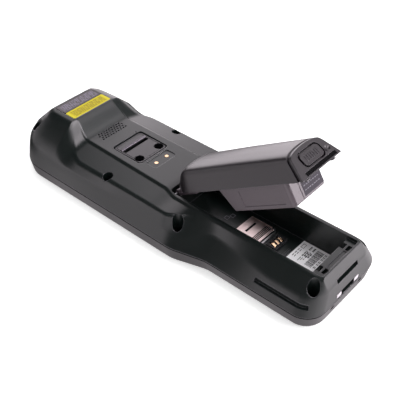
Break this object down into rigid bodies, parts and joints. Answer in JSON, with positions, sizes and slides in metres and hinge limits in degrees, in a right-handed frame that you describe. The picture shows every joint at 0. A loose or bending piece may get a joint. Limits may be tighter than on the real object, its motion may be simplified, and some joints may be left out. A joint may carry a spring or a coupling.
{
  "type": "portable barcode data terminal",
  "caption": "Handheld barcode data terminal lying on its display, with a scanner head, keypad, display, strap plate and a hinged battery pack that swings out of its bay.",
  "frame": {"origin": "centre of the bounding box's bottom face, in the plane of the front bezel that the terminal lies on", "axes": "+Y towards the scanner head, +Z out of the rear cover, +X across the case"},
  "size_m": [0.0704, 0.205, 0.0758],
  "materials": {
    "case_plastic": "soft-touch textured grey-black",
    "seal_rubber": "matte",
    "screw_steel": "dark zinc",
    "yellow_plate": "satin yellow",
    "rating_plate": "satin",
    "strap_metal": "fine textured grey",
    "gold_contact": "gold plated",
    "black_plastic": "moulded",
    "circuit_board": "solder mask",
    "shield_steel": "tin plated",
    "scan_glass": "tinted gloss",
    "display_glass": "gloss",
    "display_panel": "satin",
    "mat_rubber": "matte",
    "flex_film": "amber film",
    "cell_wrap": "wrapped cans",
    "cover_plastic": "fine textured",
    "housing_plastic": "fine textured",
    "white_label": "paper",
    "socket_plastic": "moulded",
    "holder_metal": "satin",
    "key_grey": "satin",
    "key_orange": "satin",
    "key_red": "satin"
  },
  "bodies": {
    "case": {"rear_case": "case_plastic", "front_case": "case_plastic", "case_gasket": "seal_rubber", "case_screws": "screw_steel", "yellow_plate": "yellow_plate", "rating_plate": "rating_plate", "strap_plate": "strap_metal", "strap_screws": "screw_steel", "charge_contacts": "gold_contact", "speaker": "black_plastic", "microphone": "shield_steel", "scan_window": "scan_glass", "scan_engine": "black_plastic", "engine_bracket": "shield_steel", "main_board": "circuit_board", "board_screws": "screw_steel", "shield_cans": "shield_steel", "backup_cell": "shield_steel", "vibration_motor": "shield_steel", "antenna": "gold_contact", "display_lens": "display_glass", "lcd_panel": "display_panel", "keypad_mat": "mat_rubber", "keypad_board": "circuit_board", "keypad_flex": "flex_film", "contact_block": "socket_plastic", "contact_springs": "gold_contact", "card_socket": "socket_plastic", "bay_label": "white_label", "dock_connector": "black_plastic", "dock_pads": "shield_steel", "hinge_pin": "screw_steel"},
    "battery_pack": {"battery_cover": "cover_plastic", "battery_housing": "housing_plastic", "battery_cells": "cell_wrap", "battery_board": "circuit_board", "battery_pads": "gold_contact"},
    "latch": {"latch_button": "cover_plastic"},
    "card_holder_lid": {"card_lid": "holder_metal"},
    "scan_key": {"scan_key": "key_orange"},
    "left_soft_key": {"left_soft_key": "key_grey"},
    "right_soft_key": {"right_soft_key": "key_grey"},
    "power_key": {"power_key": "key_red"},
    "key_1": {"key_1": "key_grey"},
    "key_2": {"key_2": "key_grey"},
    "key_3": {"key_3": "key_grey"},
    "key_4": {"key_4": "key_grey"},
    "key_5": {"key_5": "key_grey"},
    "key_6": {"key_6": "key_grey"},
    "key_7": {"key_7": "key_grey"},
    "key_8": {"key_8": "key_grey"},
    "key_9": {"key_9": "key_grey"},
    "key_star": {"key_star": "key_grey"},
    "key_0": {"key_0": "key_grey"},
    "key_hash": {"key_hash": "key_grey"}
  },
  "joints": [
    {"name": "battery_hinge", "type": "hinge", "parent": "case", "child": "battery_pack", "pos_m": [0, -0.0056, 0.022], "axis": [-1, 0, 0], "range_deg": [-32.3, 37.7]},
    {"name": "latch_press", "type": "slide", "parent": "battery_pack", "child": "latch", "axis": [0, 0.4648, -0.8854], "range_m": [0, 0.0016], "stiffness_N_per_m": 900, "springref_m": -0.001},
    {"name": "card_lid_hinge", "type": "hinge", "parent": "case", "child": "card_holder_lid", "pos_m": [0.004, -0.0513, 0.0079], "axis": [1, 0, 0], "range_deg": [0, 85]},
    {"name": "scan_key_press", "type": "slide", "parent": "case", "child": "scan_key", "axis": [0, 0, 1], "range_m": [0, 0.0003], "stiffness_N_per_m": 1200, "springref_m": -0.0005},
    {"name": "left_soft_key_press", "type": "slide", "parent": "case", "child": "left_soft_key", "axis": [0, 0, 1], "range_m": [0, 0.0003], "stiffness_N_per_m": 1200, "springref_m": -0.0005},
    {"name": "right_soft_key_press", "type": "slide", "parent": "case", "child": "right_soft_key", "axis": [0, 0, 1], "range_m": [0, 0.0003], "stiffness_N_per_m": 1200, "springref_m": -0.0005},
    {"name": "power_key_press", "type": "slide", "parent": "case", "child": "power_key", "axis": [0, 0, 1], "range_m": [0, 0.0003], "stiffness_N_per_m": 1200, "springref_m": -0.0005},
    {"name": "key_1_press", "type": "slide", "parent": "case", "child": "key_1", "axis": [0, 0, 1], "range_m": [0, 0.0003], "stiffness_N_per_m": 1200, "springref_m": -0.0005},
    {"name": "key_2_press", "type": "slide", "parent": "case", "child": "key_2", "axis": [0, 0, 1], "range_m": [0, 0.0003], "stiffness_N_per_m": 1200, "springref_m": -0.0005},
    {"name": "key_3_press", "type": "slide", "parent": "case", "child": "key_3", "axis": [0, 0, 1], "range_m": [0, 0.0003], "stiffness_N_per_m": 1200, "springref_m": -0.0005},
    {"name": "key_4_press", "type": "slide", "parent": "case", "child": "key_4", "axis": [0, 0, 1], "range_m": [0, 0.0003], "stiffness_N_per_m": 1200, "springref_m": -0.0005},
    {"name": "key_5_press", "type": "slide", "parent": "case", "child": "key_5", "axis": [0, 0, 1], "range_m": [0, 0.0003], "stiffness_N_per_m": 1200, "springref_m": -0.0005},
    {"name": "key_6_press", "type": "slide", "parent": "case", "child": "key_6", "axis": [0, 0, 1], "range_m": [0, 0.0003], "stiffness_N_per_m": 1200, "springref_m": -0.0005},
    {"name": "key_7_press", "type": "slide", "parent": "case", "child": "key_7", "axis": [0, 0, 1], "range_m": [0, 0.0003], "stiffness_N_per_m": 1200, "springref_m": -0.0005},
    {"name": "key_8_press", "type": "slide", "parent": "case", "child": "key_8", "axis": [0, 0, 1], "range_m": [0, 0.0003], "stiffness_N_per_m": 1200, "springref_m": -0.0005},
    {"name": "key_9_press", "type": "slide", "parent": "case", "child": "key_9", "axis": [0, 0, 1], "range_m": [0, 0.0003], "stiffness_N_per_m": 1200, "springref_m": -0.0005},
    {"name": "key_star_press", "type": "slide", "parent": "case", "child": "key_star", "axis": [0, 0, 1], "range_m": [0, 0.0003], "stiffness_N_per_m": 1200, "springref_m": -0.0005},
    {"name": "key_0_press", "type": "slide", "parent": "case", "child": "key_0", "axis": [0, 0, 1], "range_m": [0, 0.0003], "stiffness_N_per_m": 1200, "springref_m": -0.0005},
    {"name": "key_hash_press", "type": "slide", "parent": "case", "child": "key_hash", "axis": [0, 0, 1], "range_m": [0, 0.0003], "stiffness_N_per_m": 1200, "springref_m": -0.0005}
  ]
}
